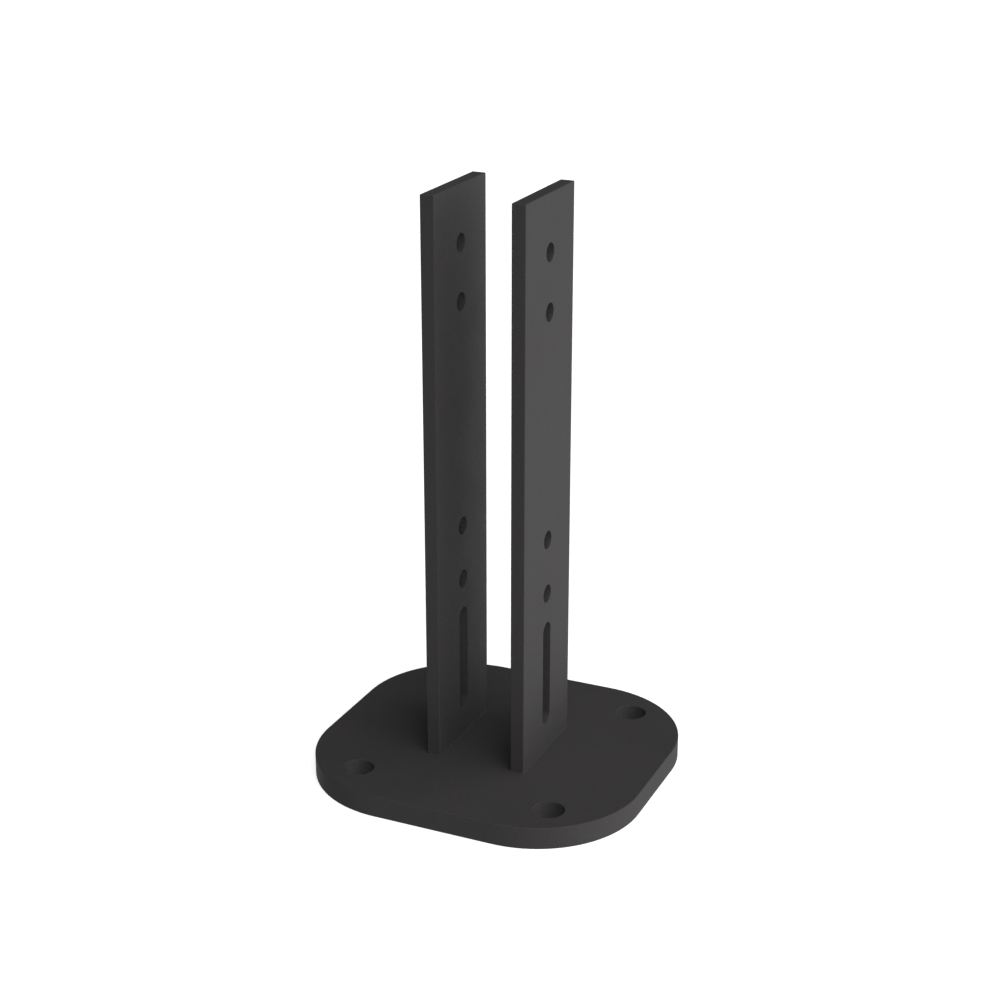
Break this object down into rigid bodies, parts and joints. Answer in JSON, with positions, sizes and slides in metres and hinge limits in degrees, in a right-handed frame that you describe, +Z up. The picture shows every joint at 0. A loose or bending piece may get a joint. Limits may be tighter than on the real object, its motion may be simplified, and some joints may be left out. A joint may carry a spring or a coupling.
{
  "type": "bolt-down fence post base",
  "caption": "Dark powder-coated steel post base: a bolt-down plate with large corner radii and twin punched flat-bar uprights that a hollow post slides over.",
  "frame": {"origin": "middle of the base plate's underside", "axes": "+Z up along the uprights, X across the two uprights, Y along their 40 mm width"},
  "size_m": [0.12, 0.11, 0.208],
  "materials": {
    "powder_coat": "matt anthracite powder coat over steel"
  },
  "bodies": {
    "root": {"base_plate": "powder_coat", "left_upright": "powder_coat", "right_upright": "powder_coat", "left_weld": "powder_coat", "right_weld": "powder_coat"}
  },
  "joints": []
}
